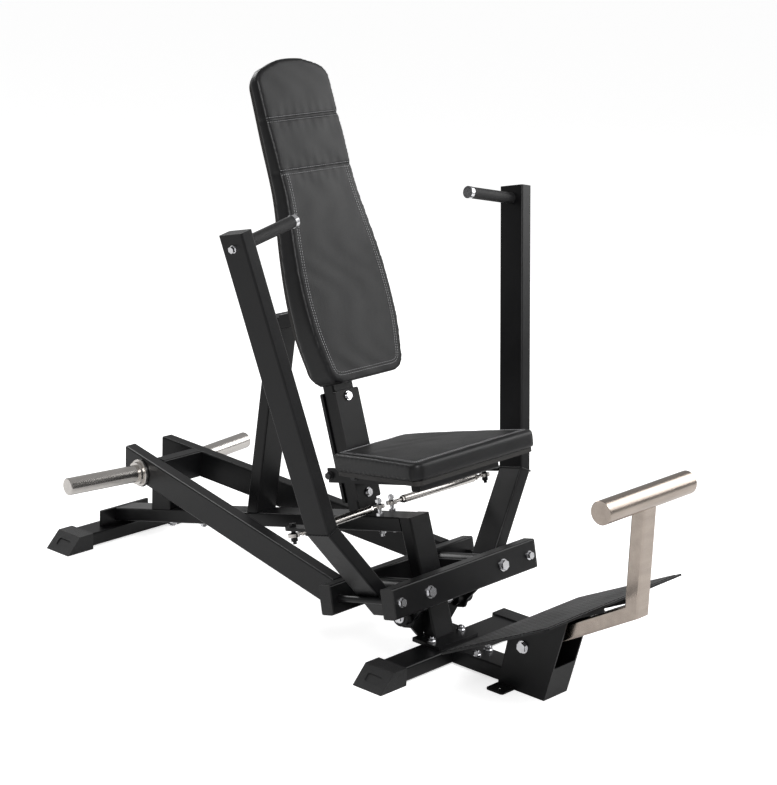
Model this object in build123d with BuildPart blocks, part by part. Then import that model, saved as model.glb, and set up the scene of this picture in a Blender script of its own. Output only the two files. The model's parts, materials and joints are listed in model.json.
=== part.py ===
"""Plate-loaded seated chest press with converging arms and a foot lever.

Frame: +Z up, floor at z = 0, X across the machine, the user faces -Y.
Stations along Y are given from the front face of the press lever's front
crossbar (the bolt face); front_y places that face so that the whole machine
is centred on the origin. Left is -X, as seen from in front of the machine.
"""
from build123d import *
from math import atan2, cos, hypot, radians, sin, tan
import os

os.makedirs("parts", exist_ok=True)

# ---- Tube stock and fits --------------------------------------------------
tube_w = 80.0            # wide side of the frame tube
tube_d = 40.0            # narrow side of the frame tube
tube_wall = 3.0
tube_corner = 5.0
running_fit = 0.06       # radial clearance of every hinge pin
seat_fit = 0.05          # radial clearance of bolts and bushes in their own body
soft_gap = 0.3           # gap beside soft or resting pieces
plate_t = 10.0           # welded mounting plates
bolt_r = 6.0             # M12 frame bolts
swing_bolt_r = 8.0       # M16 bolts of the crossbars
head_h = 8.0             # bolt head height
low_head_h = 5.0         # low head height, where the seat rollers pass
washer_t = 2.5

# ---- Base -----------------------------------------------------------------
wheelbase = 1358.0       # bolt face to the rear base tube's centre
front_base_y = 44.0      # front base tube's centre
base_clear = 5.0         # floor to the underside of the base tubes
front_reach = 330.0      # centre to the outer end of a front foot
rear_reach = 258.0       # centre to the outer end of a rear foot
cap_length = 98.0
cap_width = 98.0
cap_height = 49.0
cap_slope = 47.0         # how far the cap's end face leans in
cap_nose = 8.0           # rubber between the cap's top edge and the tube end

# ---- Spine, column and lever attitude ------------------------------------
spine_slope = 13.0       # spine beam's rise towards the front, degrees
spine_rear_y = 1349.0
spine_rear_top = 93.0
rear_plate_w = 190.0
column_lean = 19.3       # front column leans back, degrees
column_foot_y = 86.6     # column's centre line on its base plate
pivot_z = 129.0          # main pivot shaft height, on the column's centre line
shaft_r = 12.5
wing_reach = 103.0       # centre to the outer face of the shaft boss
boss_r = 24.0
boss_length = 24.0

# ---- Press lever ----------------------------------------------------------
lever_tilt = 13.0        # rest tilt of the lever frame, degrees
bolt_z = 234.0           # crossbar bolts' height on the bolt face
crossbar_half = 290.0    # centre to the outer face of an end cap
end_cap_t = 6.0
crossbar_gap = 180.0     # clear gap between the two crossbars
swing_x = 148.5          # inner bolts: the press arms' swing axes
stop_x = 260.0           # outer bolts: the press arms' stops
lever_plate_x = 109.0    # centre of a lever plate
lever_plate_rise = 20.0  # lever plate's top edge over the crossbars' middle
bearing_r = 27.0
bearing_length = 30.0
bush_wall = 4.0
arm_front_x = 217.0      # lever arm's centre line at the rear crossbar
arm_rear_x = 72.5        # the same at its rear end
arm_rear_y = 1243.0
arm_rear_z = 284.0
cross_tube_y = 1115.0
horn_y = 1158.0
horn_drop = 10.0         # horn's axis below the lever arm's middle
horn_r = 25.0
horn_length = 230.0      # from the flange's face to the tip
flange_r = 40.0
flange_t = 10.0

# ---- Press arms (x and height measured in the lever's tilted frame) -------
arm_mid_y = 120.0        # press arm's middle behind the bolt face
arm_low = (190.0, -43.0)
arm_elbow = (386.6, 211.0)
arm_top = (542.0, 984.0)
swing_housing_r = 27.0
swing_housing_end = 1.0  # end play between housing and crossbar
grip_drop = 36.0         # grip axis below the arm's top end
grip_r = 16.0
grip_core_r = 12.0
grip_length = 172.0
grip_cap_t = 12.0

# ---- Tie rods -------------------------------------------------------------
stud_x = 25.0
stud_y = 290.2
stud_rise = 26.0         # ball centre over the spine's top face
stud_nut_rise = 11.0     # nut's underside over the ball centre
rod_ball_x = 382.0
rod_ball_back = 228.0    # behind the bolt face, in the lever's frame
rod_ball_up = 195.0      # above the bolts, in the lever's frame
ball_r = 9.5
socket_gap = 0.3
eye_r = 15.0
eye_t = 9.0
pin_r = 5.0
rod_r = 11.0
rod_bore_r = 8.4
shank_r = 5.0
rod_tube_start = 46.0    # ball centre to the rod tube's end
shank_reach = 66.0       # ball centre to the tip of the loose shank
lug_t = 8.0
lug_w = 40.0

# ---- Seat -----------------------------------------------------------------
post_lean = 19.2         # seat post and backrest board lean back, degrees
post_face_y = 353.0      # point on the front rack plate's face
post_face_z = 365.0
rack_t = 10.0
rack_w = 90.0
rack_length = 303.0
post_top = 400.0         # along the post from the rack plate's foot
seat_tilt = 12.3         # front of the seat raised, degrees
seat_rear_y = 367.0
seat_rear_z = 517.0
seat_length = 389.0
seat_rear_half = 146.0
seat_front_half = 248.0
seat_corner = 26.0
seat_pad_t = 47.0
seat_board_t = 12.0
board_inset = 8.0
rail_h = 40.0
rail_t = 8.0
rail_gap = 1.5           # rack plate's edge to the carriage rail
rail_rear = 112.0        # rail's end behind the seat pad
rail_front = 285.0       # rail's end ahead of the seat pad's rear edge
roller_r = 16.0
roller_w = 24.0
crosspiece_half = 158.0
crosspiece_h = 32.0
crosspiece_t = 30.0
crosspiece_run = 300.0   # seat pad's rear edge to the crosspiece

# ---- Backrest -------------------------------------------------------------
back_lean = 22.5         # pad's front face, degrees
back_face_y = 590.0      # front face's reference point
back_face_z = 1235.0
back_bottom = -574.0     # along the face from the reference point
back_top = 304.0
back_pad_top_t = 26.0    # pad thickness at its top end
lumbar_half = 168.0
shoulder_half = 150.0
head_half = 138.0
back_board_t = 12.0
strut_lean = 6.6
strut_foot_y = 764.0     # strut's centre line where its foot is cut
strut_foot_z = 236.0
strut_top_z = 812.0
bracket_z = 792.0
bracket_plate_t = 8.0
packer_w = 60.0
packer_length = 60.0

# ---- Lever rest -----------------------------------------------------------
rest_post_y = 1147.0
rest_post_depth = 80.0
bumper_t = 14.0

# ---- Foot box, foot plate and foot lever ----------------------------------
box_half = 48.0
sheet_t = 5.0
box_rear_foot_y = -157.0
box_rear_top = (-184.0, 145.0)
box_front_top = (-366.0, 235.0)
box_front_foot_y = -308.0
front_sheet_h = 93.0
foot_plate_half = 285.0
foot_plate_length = 362.0
foot_plate_t = 5.0
foot_plate_lift = 20.0   # foot plate's top over the box's top edge
foot_plate_back = 26.0   # foot plate's rear edge behind the box's top edge
tread_t = 2.0
tread_inset = 12.0
foot_pivot = (-232.0, 125.0)
foot_pivot_r = 8.0
foot_tube_w = 50.0
foot_tube_d = 40.0
foot_slope = 30.0
upright_y = -536.0
foot_bar_z = 592.0
foot_bar_r = 30.0
foot_bar_half = 179.0
tab_size = (50.0, 55.0)
tab_hole_r = 6.5

# ---- Derived places -------------------------------------------------------
front_edge = upright_y - foot_bar_r
rear_edge = wheelbase + cap_width / 2
front_y = -(front_edge + rear_edge) / 2
base_top = base_clear + tube_d
plate_top = base_top + plate_t


def side(x):
    """YZ plane at x: sketch x is the station along Y, sketch y is height."""
    return Plane(origin=(x, front_y, 0), x_dir=(0, 1, 0), z_dir=(1, 0, 0))


def place(x, y, z):
    """A point from its station, in the machine's frame."""
    return Vector(x, y + front_y, z)


lever_back = Vector(0, cos(radians(lever_tilt)), -sin(radians(lever_tilt)))
lever_up = Vector(0, sin(radians(lever_tilt)), cos(radians(lever_tilt)))
lever_origin = place(0, 0, bolt_z)


def in_lever(x, back, up):
    """A point from its place in the lever's tilted frame."""
    return lever_origin + Vector(x, 0, 0) + lever_back * back + lever_up * up


def lever_side(x):
    """Side plane of the lever: sketch x runs back, sketch y up."""
    return Plane(origin=in_lever(x, 0, 0), x_dir=lever_back, z_dir=(1, 0, 0))


def lever_front(back):
    """Plane across the lever, facing forward: sketch x across, sketch y up."""
    return Plane(origin=in_lever(0, back, 0), x_dir=(1, 0, 0), z_dir=-lever_back)


def box_section(plane, width, depth, wall=tube_wall, middle=(0, 0)):
    """Rectangular tube section with rounded corners."""
    with BuildSketch(plane) as section:
        with Locations(middle):
            RectangleRounded(width, depth, tube_corner)
            RectangleRounded(
                width - 2 * wall, depth - 2 * wall, tube_corner - wall / 2, mode=Mode.SUBTRACT
            )
    return section.sketch


def bar_slice(plane, width, depth, length, low, high):
    """Piece of a solid bar kept between two cutting planes: the lid of a tube."""
    with BuildPart() as bar:
        with BuildSketch(plane) as section:
            RectangleRounded(width, depth, tube_corner)
        extrude(section.sketch, amount=length)
        split(bisect_by=low, keep=Keep.TOP)
        split(bisect_by=high, keep=Keep.BOTTOM)
    return bar.part


def disc(plane, radius, bore=0.0, middle=(0, 0)):
    """Round section, with a bore if one is given."""
    with BuildSketch(plane) as section:
        with Locations(middle):
            Circle(radius)
            if bore:
                Circle(bore, mode=Mode.SUBTRACT)
    return section.sketch


def hexagon(plane, radius):
    """Hexagon section of a nut or bolt head."""
    with BuildSketch(plane) as section:
        RegularPolygon(radius, 6)
    return section.sketch


def save(piece, name):
    """Label a finished piece and write its STEP file."""
    piece.label = name
    export_step(piece, f"parts/{name}.step")


def add_bolt(start, direction, length, radius):
    """Bolt with a washer and hexagon head at start and a nut at its far end."""
    head = Plane(origin=start, z_dir=direction)
    tail = Plane(origin=start + direction * length, z_dir=direction)
    extrude(disc(head, radius), amount=length + washer_t + head_h + 3)
    extrude(disc(head, 2.1 * radius), amount=-washer_t)
    extrude(hexagon(head.offset(-washer_t), 1.75 * radius), amount=-head_h)
    extrude(disc(head, radius), amount=-washer_t)
    extrude(disc(tail, 2.1 * radius), amount=washer_t)
    extrude(hexagon(tail.offset(washer_t), 1.75 * radius), amount=head_h)


# ==== Base =================================================================
for name, middle, reach in (
    ("front_base_tube", front_base_y, front_reach),
    ("rear_base_tube", wheelbase, rear_reach),
):
    tube_half = reach - cap_slope - cap_nose
    with BuildPart() as base_tube:
        extrude(
            box_section(side(0), tube_w, tube_d, middle=(middle, base_clear + tube_d / 2)),
            amount=tube_half, both=True,
        )
    save(base_tube.part, name)

with BuildPart() as foot_caps:
    for middle, reach in ((front_base_y, front_reach), (wheelbase, rear_reach)):
        tube_half = reach - cap_slope - cap_nose
        for hand in (-1, 1):
            cap_face = place(0, middle - cap_width / 2, 0)
            across = Plane(origin=cap_face, x_dir=(1, 0, 0), z_dir=(0, -1, 0))
            with BuildSketch(across) as cap_profile:
                with BuildLine():
                    Polyline(
                        (hand * (reach - cap_length), 0), (hand * reach, 0),
                        (hand * (reach - cap_slope), cap_height), (hand * (reach - cap_length), cap_height),
                        close=True,
                    )
                make_face()
            extrude(cap_profile.sketch, amount=-cap_width)
            pocket = Plane(origin=place(hand * tube_half, middle, base_clear + tube_d / 2),
                           x_dir=(0, 1, 0), z_dir=(-hand, 0, 0))
            with BuildSketch(pocket) as cap_pocket:
                RectangleRounded(tube_w, tube_d, tube_corner)
            extrude(cap_pocket.sketch, amount=cap_length, mode=Mode.SUBTRACT)
            end_face = Plane(origin=place(hand * (reach - cap_slope / 2), middle, cap_height / 2),
                             x_dir=(0, 1, 0), z_dir=(hand * cap_height, 0, cap_slope))
            with BuildSketch(end_face) as cap_recess:
                RectangleRounded(0.5 * cap_width, 0.5 * cap_height, 6)
            extrude(cap_recess.sketch, amount=-cap_nose / 3, mode=Mode.SUBTRACT)
save(foot_caps.part, "foot_caps")

# ==== Column, spine and their plates =======================================
column_axis = Vector(0, sin(radians(column_lean)), cos(radians(column_lean)))
column_plane = Plane(origin=place(0, column_foot_y, plate_top), x_dir=(1, 0, 0), z_dir=column_axis)
pivot_y = column_foot_y + (pivot_z - plate_top) * tan(radians(column_lean))
pivot = place(0, pivot_y, pivot_z)

spine_axis = Vector(0, -cos(radians(spine_slope)), sin(radians(spine_slope)))
spine_up = Vector(0, sin(radians(spine_slope)), cos(radians(spine_slope)))
spine_top_point = place(0, spine_rear_y, spine_rear_top)
spine_top = Plane(origin=spine_top_point, x_dir=(1, 0, 0), z_dir=spine_up)
spine_end = Plane(origin=place(0, spine_rear_y, 0), x_dir=(1, 0, 0), z_dir=(0, -1, 0))
column_rear = Plane(origin=column_plane.origin + column_plane.y_dir * (tube_d / 2),
                    x_dir=(1, 0, 0), z_dir=column_plane.y_dir)


def spine_height(y):
    """Height of the spine's top face at a station."""
    return spine_rear_top + (spine_rear_y - y) * tan(radians(spine_slope))


column_lid = bar_slice(column_plane, tube_w, tube_d, spine_height(0), spine_top.offset(-tube_wall), spine_top)
with BuildPart() as front_column:
    extrude(box_section(column_plane.offset(-tube_d), tube_w, tube_d), amount=spine_height(0))
    split(bisect_by=Plane(origin=place(0, 0, plate_top)), keep=Keep.TOP)
    split(bisect_by=spine_top, keep=Keep.BOTTOM)
    add(column_lid)
    extrude(disc(side(0), shaft_r + seat_fit, middle=(pivot_y, pivot_z)), amount=tube_w, both=True,
            mode=Mode.SUBTRACT)
save(front_column.part, "front_column")

with BuildPart() as spine_beam:
    spine_line = Plane(origin=spine_top_point - spine_up * (tube_d / 2) - spine_axis * tube_w,
                       x_dir=(1, 0, 0), z_dir=spine_axis)
    extrude(box_section(spine_line, tube_w, tube_d), amount=spine_rear_y + tube_w)
    split(bisect_by=spine_end, keep=Keep.TOP)
    split(bisect_by=column_rear, keep=Keep.TOP)
    for hand in (-1, 1):
        stud_foot = Plane(origin=place(hand * stud_x, stud_y, spine_height(stud_y)), z_dir=spine_up)
        extrude(disc(stud_foot.offset(-2 * tube_d), pin_r + seat_fit), amount=3 * tube_d, mode=Mode.SUBTRACT)
save(spine_beam.part, "spine_beam")

with BuildPart() as mounting_plates:
    with BuildSketch(Plane.XY.offset(base_top)) as column_plate:
        with Locations((0, column_foot_y - 22 + front_y)):
            Rectangle(2 * tube_w, tube_w + 18)
    extrude(column_plate.sketch, amount=plate_t)
    with BuildSketch(spine_end) as spine_plate:
        with Locations((0, (base_top + spine_rear_top) / 2)):
            Rectangle(rear_plate_w, spine_rear_top - base_top)
    extrude(spine_plate.sketch, amount=-plate_t)
    fillet(mounting_plates.edges().filter_by(Axis.Z), 4)
save(mounting_plates.part, "mounting_plates")

with BuildPart() as pivot_wings:
    wing_plane = Plane(origin=pivot + Vector(0, plate_t / 2, 0), x_dir=(1, 0, 0), z_dir=(0, -1, 0))
    for hand in (-1, 1):
        with BuildSketch(wing_plane) as wing:
            with BuildLine():
                Polyline(
                    (hand * tube_w / 2, plate_top - pivot_z), (hand * (tube_w / 2 + 18), plate_top - pivot_z),
                    (hand * (wing_reach + 2), -boss_r), (hand * (wing_reach - boss_length), boss_r),
                    (hand * tube_w / 2, boss_r), close=True,
                )
            make_face()
        extrude(wing.sketch, amount=plate_t)
        boss_start = Plane(origin=pivot + Vector(hand * (wing_reach - boss_length), 0, 0), z_dir=(hand, 0, 0))
        extrude(disc(boss_start, boss_r), amount=boss_length)
        clear = Plane(origin=pivot + Vector(hand * wing_reach, 0, 0), z_dir=(hand, 0, 0))
        extrude(disc(clear, 2 * boss_r), amount=boss_r, mode=Mode.SUBTRACT)
    extrude(disc(side(0), shaft_r + seat_fit, middle=(pivot_y, pivot_z)), amount=2 * wing_reach, both=True,
            mode=Mode.SUBTRACT)
save(pivot_wings.part, "pivot_wings")

bearing_start = wing_reach + 1
shaft_half = bearing_start + bearing_length + 1
with BuildPart() as pivot_shaft:
    extrude(disc(side(0), shaft_r, middle=(pivot_y, pivot_z)), amount=shaft_half, both=True)
    for hand in (-1, 1):
        shaft_end = Plane(origin=pivot + Vector(hand * shaft_half, 0, 0), z_dir=(hand, 0, 0))
        extrude(disc(shaft_end, 1.35 * shaft_r), amount=washer_t)
        extrude(hexagon(shaft_end.offset(washer_t), 1.1 * shaft_r), amount=head_h)
save(pivot_shaft.part, "pivot_shaft")

# ==== Stub and foot box ====================================================
box_rear = Plane(origin=place(0, box_rear_foot_y, 0), x_dir=(1, 0, 0),
                 z_dir=(0, box_rear_top[1], box_rear_foot_y - box_rear_top[0]))
with BuildPart() as front_stub_tube:
    stub_rear = front_base_y - tube_w / 2
    stub_plane = Plane(origin=place(0, stub_rear, base_clear + tube_d / 2), x_dir=(1, 0, 0), z_dir=(0, -1, 0))
    extrude(box_section(stub_plane, tube_w, tube_d), amount=stub_rear - box_rear_top[0])
    split(bisect_by=box_rear, keep=Keep.TOP)
save(front_stub_tube.part, "front_stub_tube")

top_run = hypot(box_rear_top[0] - box_front_top[0], box_front_top[1] - box_rear_top[1])
top_slope = atan2(box_front_top[1] - box_rear_top[1], box_rear_top[0] - box_front_top[0])
box_top_plane = Plane(origin=place(0, *box_rear_top), x_dir=(1, 0, 0),
                      z_dir=(0, sin(top_slope), cos(top_slope)))
front_step = front_sheet_h / box_front_top[1]
front_step_y = box_front_foot_y + (box_front_top[0] - box_front_foot_y) * front_step

with BuildPart() as foot_box:
    with BuildSketch(side(0)) as box_side:
        with BuildLine():
            Polyline((box_rear_foot_y, 0), box_rear_top, box_front_top, (box_front_foot_y, 0), close=True)
        make_face()
    extrude(box_side.sketch, amount=box_half, both=True)
    with BuildSketch(side(0)) as box_inside:
        with BuildLine():
            Polyline(
                (box_rear_foot_y - sheet_t, sheet_t), (box_rear_top[0] - sheet_t, box_rear_top[1] + sheet_t),
                (box_front_top[0] - sheet_t, box_front_top[1] + 3 * sheet_t),
                (front_step_y - 3 * sheet_t, front_sheet_h), (front_step_y + sheet_t, front_sheet_h),
                (box_front_foot_y + sheet_t, sheet_t), close=True,
            )
        make_face()
    extrude(box_inside.sketch, amount=box_half - sheet_t, both=True, mode=Mode.SUBTRACT)
    extrude(disc(side(0), foot_pivot_r + seat_fit, middle=foot_pivot), amount=2 * box_half, both=True,
            mode=Mode.SUBTRACT)
save(foot_box.part, "foot_box")

with BuildPart() as floor_tabs:
    for hand in (-1, 1):
        with BuildSketch() as tab:
            with Locations((hand * (box_half + tab_size[0] / 2), box_rear_foot_y - tab_size[1] / 2 + front_y)):
                RectangleRounded(*tab_size, 8)
                Circle(tab_hole_r, mode=Mode.SUBTRACT)
            with Locations((hand * (box_half + 5), box_rear_foot_y - tab_size[1] / 2 + front_y)):
                Rectangle(10, tab_size[1])
        extrude(tab.sketch, amount=sheet_t)
save(floor_tabs.part, "floor_tabs")

foot_plate_top = box_top_plane.offset(foot_plate_lift - tread_t)
plate_middle = (0, foot_plate_back - foot_plate_length / 2)
with BuildPart() as foot_plate:
    with BuildSketch(foot_plate_top) as foot_plate_shape:
        with Locations(plate_middle):
            RectangleRounded(2 * foot_plate_half, foot_plate_length, 12)
    extrude(foot_plate_shape.sketch, amount=-foot_plate_t)
save(foot_plate.part, "foot_plate")

with BuildPart() as foot_plate_tread:
    with BuildSketch(foot_plate_top) as tread_shape:
        with Locations(plate_middle):
            RectangleRounded(2 * (foot_plate_half - tread_inset), foot_plate_length - 2 * tread_inset, 8)
    extrude(tread_shape.sketch, amount=tread_t)
save(foot_plate_tread.part, "foot_plate_tread")

rib_h = foot_plate_lift - tread_t - foot_plate_t
rib_top = box_top_plane.offset(rib_h)
with BuildPart() as foot_plate_ribs:
    for hand in (-1, 1):
        with BuildSketch(rib_top) as rib:
            with Locations((hand * (box_half - sheet_t / 2), plate_middle[1])):
                Rectangle(sheet_t, foot_plate_length - 2 * tread_inset)
        extrude(rib.sketch, amount=-rib_h)
save(foot_plate_ribs.part, "foot_plate_ribs")

# ==== Foot lever ===========================================================
foot_up = Vector(0, -cos(radians(foot_slope)), sin(radians(foot_slope)))
elbow_z = foot_pivot[1] + (foot_pivot[0] - upright_y) * tan(radians(foot_slope))
with BuildPart() as foot_upright:
    elbow_plane = Plane(origin=place(0, upright_y, elbow_z), x_dir=(1, 0, 0),
                        z_dir=(foot_up + Vector(0, 0, 1)).normalized())
    upright_foot = Plane(origin=place(0, upright_y, elbow_z - foot_tube_w), x_dir=(1, 0, 0), z_dir=(0, 0, 1))
    extrude(box_section(upright_foot, foot_tube_w, foot_tube_d), amount=foot_bar_z - elbow_z + foot_tube_w)
    split(bisect_by=elbow_plane, keep=Keep.TOP)
    extrude(disc(side(0), foot_bar_r + seat_fit, middle=(upright_y, foot_bar_z)), amount=foot_tube_w, both=True,
            mode=Mode.SUBTRACT)
with BuildPart() as foot_lever:
    lower_plane = Plane(origin=place(0, *foot_pivot), x_dir=(1, 0, 0), z_dir=foot_up)
    extrude(box_section(lower_plane, foot_tube_w, foot_tube_d), amount=foot_pivot[0] - upright_y + 2 * foot_tube_w)
    split(bisect_by=elbow_plane, keep=Keep.BOTTOM)
    extrude(disc(side(0), foot_tube_d / 2, middle=foot_pivot), amount=foot_tube_w / 2, both=True)
    extrude(disc(side(0), foot_pivot_r + running_fit, middle=foot_pivot), amount=foot_tube_w, both=True,
            mode=Mode.SUBTRACT)
    add(foot_upright.part)
save(foot_lever.part, "foot_lever_tube")

with BuildPart() as foot_bar:
    extrude(disc(side(0), foot_bar_r, foot_bar_r - 4, middle=(upright_y, foot_bar_z)), amount=foot_bar_half - 4,
            both=True)
    for hand in (-1, 1):
        bar_end = Plane(origin=place(hand * (foot_bar_half - 4), upright_y, foot_bar_z), z_dir=(hand, 0, 0))
        extrude(disc(bar_end, foot_bar_r), amount=4)
    chamfer(foot_bar.faces().sort_by(Axis.X)[0].edges(), 1.2)
    chamfer(foot_bar.faces().sort_by(Axis.X)[-1].edges(), 1.2)
save(foot_bar.part, "foot_bar")

spring_wire = 3.0
with BuildPart() as foot_lever_springs:
    for hand in (-1, 1):
        for turn in range(2):
            ring_x = foot_tube_w / 2 + spring_wire + 1 + turn * 2 * spring_wire
            ring_plane = Plane(origin=place(hand * ring_x, *foot_pivot), x_dir=(0, 1, 0), z_dir=(0, 0, 1))
            with BuildSketch(ring_plane) as wire:
                with Locations((foot_pivot_r + spring_wire + 1, 0)):
                    Circle(spring_wire)
            revolve(wire.sketch, axis=Axis(place(0, *foot_pivot), (1, 0, 0)))
        spacer = Plane(origin=place(hand * (box_half - sheet_t), *foot_pivot), z_dir=(-hand, 0, 0))
        spacer_reach = box_half - sheet_t - foot_tube_w / 2 - 4 * spring_wire - 1
        extrude(disc(spacer, 2 * foot_pivot_r, foot_pivot_r + seat_fit), amount=spacer_reach)
save(foot_lever_springs.part, "foot_lever_springs")

# ==== Press lever ==========================================================
bar_half = crossbar_half - end_cap_t
rear_bar_back = tube_d + crossbar_gap
lever_rear_face = rear_bar_back + tube_d
crossbar_holes = ((-stop_x, bolt_r), (-swing_x, swing_bolt_r), (swing_x, swing_bolt_r), (stop_x, bolt_r))
for name, start in (("front_crossbar", 0.0), ("rear_crossbar", rear_bar_back)):
    with BuildPart() as crossbar:
        extrude(box_section(lever_side(0), tube_d, tube_w, middle=(start + tube_d / 2, 0)),
                amount=bar_half, both=True)
        for x, hole_r in crossbar_holes:
            hole = lever_front(start + 2 * tube_d)
            extrude(disc(hole, hole_r + seat_fit, middle=(x, 0)), amount=3 * tube_d, mode=Mode.SUBTRACT)
    save(crossbar.part, name)

with BuildPart() as crossbar_end_caps:
    for start in (0.0, rear_bar_back):
        for hand in (-1, 1):
            with BuildSketch(lever_side(hand * bar_half)) as end_cap:
                with Locations((start + tube_d / 2, 0)):
                    RectangleRounded(tube_d, tube_w, tube_corner)
            extrude(end_cap.sketch, amount=hand * end_cap_t)
save(crossbar_end_caps.part, "crossbar_end_caps")

pivot_offset = pivot - lever_origin
pivot_back = pivot_offset.dot(lever_back)
pivot_up = pivot_offset.dot(lever_up)
with BuildPart() as lever_plates:
    for hand in (-1, 1):
        with BuildSketch(lever_side(hand * lever_plate_x)) as lever_plate:
            with BuildLine():
                Polyline(
                    (tube_d, lever_plate_rise), (rear_bar_back, lever_plate_rise),
                    (rear_bar_back, -tube_w / 2), (pivot_back + bearing_r, pivot_up - bearing_r / 2),
                    (pivot_back + bearing_r / 2, pivot_up - bearing_r - 8),
                    (pivot_back - bearing_r / 2, pivot_up - bearing_r - 8),
                    (pivot_back - bearing_r, pivot_up - bearing_r / 2), (tube_d, -tube_w / 2), close=True,
                )
            make_face()
            with Locations((pivot_back, pivot_up)):
                Circle(bearing_r + seat_fit, mode=Mode.SUBTRACT)
        extrude(lever_plate.sketch, amount=plate_t / 2, both=True)
save(lever_plates.part, "lever_plates")

bush_r = shaft_r + bush_wall
with BuildPart() as bearing_housings:
    for hand in (-1, 1):
        bearing_plane = Plane(origin=pivot + Vector(hand * bearing_start, 0, 0), z_dir=(hand, 0, 0))
        extrude(disc(bearing_plane, bearing_r, bush_r + seat_fit), amount=bearing_length)
save(bearing_housings.part, "bearing_housings")

with BuildPart() as bearing_bushes:
    for hand in (-1, 1):
        bearing_plane = Plane(origin=pivot + Vector(hand * bearing_start, 0, 0), z_dir=(hand, 0, 0))
        extrude(disc(bearing_plane, bush_r, shaft_r + running_fit), amount=bearing_length)
save(bearing_bushes.part, "bearing_bushes")

arm_start = in_lever(0, lever_rear_face, 0)
arm_end = place(0, arm_rear_y, arm_rear_z)
rear_cut = Plane(origin=arm_end, x_dir=(1, 0, 0), z_dir=(0, 1, 0))
crossbar_rear = Plane(origin=arm_start, x_dir=(1, 0, 0), z_dir=lever_back)


def lever_arm_line(hand):
    """Plane at a lever arm's front end, looking along the arm."""
    start = arm_start + Vector(hand * arm_front_x, 0, 0)
    end = arm_end + Vector(hand * arm_rear_x, 0, 0)
    run = end - start
    across = Vector(run.Y, -run.X, 0).normalized()
    return Plane(origin=start, x_dir=across, z_dir=run.normalized()), run.length


for hand, name in ((-1, "lever_arm_left"), (1, "lever_arm_right")):
    arm_line, arm_run = lever_arm_line(hand)
    arm_lid = bar_slice(arm_line, tube_d, tube_w, arm_run + tube_w, rear_cut.offset(-tube_wall), rear_cut)
    with BuildPart() as lever_arm:
        extrude(box_section(arm_line.offset(-tube_w), tube_d, tube_w), amount=arm_run + 2 * tube_w)
        split(bisect_by=crossbar_rear, keep=Keep.TOP)
        split(bisect_by=rear_cut, keep=Keep.BOTTOM)
        add(arm_lid)
    save(lever_arm.part, name)

arm_share = (cross_tube_y + front_y - arm_start.Y) / (arm_end.Y - arm_start.Y)
cross_tube_z = arm_start.Z + arm_share * (arm_end.Z - arm_start.Z)
with BuildPart() as arm_cross_tube:
    extrude(box_section(side(0), tube_d, tube_w, middle=(cross_tube_y, cross_tube_z)),
            amount=arm_front_x, both=True)
    for hand in (-1, 1):
        arm_line, arm_run = lever_arm_line(hand)
        inner_face = Plane(origin=arm_line.origin - arm_line.x_dir * (hand * tube_d / 2), z_dir=arm_line.x_dir)
        split(bisect_by=inner_face, keep=Keep.BOTTOM if hand > 0 else Keep.TOP)
save(arm_cross_tube.part, "arm_cross_tube")


def horn_plane(hand):
    """Plane on a lever arm's outer face where its weight horn starts."""
    arm_line, arm_run = lever_arm_line(hand)
    share = (horn_y + front_y - arm_start.Y) / (arm_end.Y - arm_start.Y)
    foot = arm_line.origin + arm_line.z_dir * (arm_run * share) - Vector(0, 0, horn_drop)
    outward = arm_line.x_dir * hand
    return Plane(origin=foot + outward * (tube_d / 2), z_dir=outward)


with BuildPart() as horn_flanges:
    for hand in (-1, 1):
        extrude(disc(horn_plane(hand), flange_r), amount=flange_t)
        extrude(disc(horn_plane(hand).offset(flange_t), flange_r - 7), amount=flange_t)
    chamfer(horn_flanges.edges().filter_by(GeomType.CIRCLE).group_by(SortBy.RADIUS)[-1], 1.5)
save(horn_flanges.part, "horn_flanges")

with BuildPart() as weight_horns:
    for hand in (-1, 1):
        extrude(disc(horn_plane(hand).offset(2 * flange_t), horn_r), amount=horn_length)
    for hand in (-1, 1):
        tip = horn_plane(hand).offset(2 * flange_t + horn_length)
        chamfer(weight_horns.edges().filter_by(GeomType.CIRCLE).sort_by_distance(tip.origin)[0], 2)
save(weight_horns.part, "weight_horns")

with BuildPart() as crossbar_bolts:
    for x, hole_r in crossbar_holes:
        add_bolt(in_lever(x, 0, 0), lever_back, lever_rear_face, hole_r)
save(crossbar_bolts.part, "crossbar_bolts")

# ==== Press arms ===========================================================
low_run = (arm_elbow[0] - arm_low[0], arm_elbow[1] - arm_low[1])
low_length = hypot(*low_run)
low_dir = (low_run[0] / low_length, low_run[1] / low_length)
top_run = (arm_top[0] - arm_elbow[0], arm_top[1] - arm_elbow[1])
top_length = hypot(*top_run)
top_dir = (top_run[0] / top_length, top_run[1] / top_length)
arm_back = arm_mid_y + tube_w / 2


def arm_point(hand, along_x, up, back=arm_mid_y):
    """A point of a press arm from its place across and up the lever's frame."""
    return in_lever(hand * along_x, back, up)


def arm_dir(hand, run):
    """A direction in the press arm's plane."""
    return Vector(hand * run[0], 0, 0) + lever_up * run[1]


# The stop sleeve fills the space between the outer bolt and the resting arm.
stop_clear = (stop_x - arm_low[0]) * low_dir[1] - (0 - arm_low[1]) * low_dir[0] - tube_d / 2
sleeve_r = stop_clear - soft_gap
with BuildPart() as stop_sleeves:
    for hand in (-1, 1):
        sleeve_plane = Plane(origin=in_lever(hand * stop_x, tube_d, 0), z_dir=lever_back)
        extrude(disc(sleeve_plane, sleeve_r, bolt_r + seat_fit), amount=crossbar_gap)
save(stop_sleeves.part, "stop_sleeves")

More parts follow.
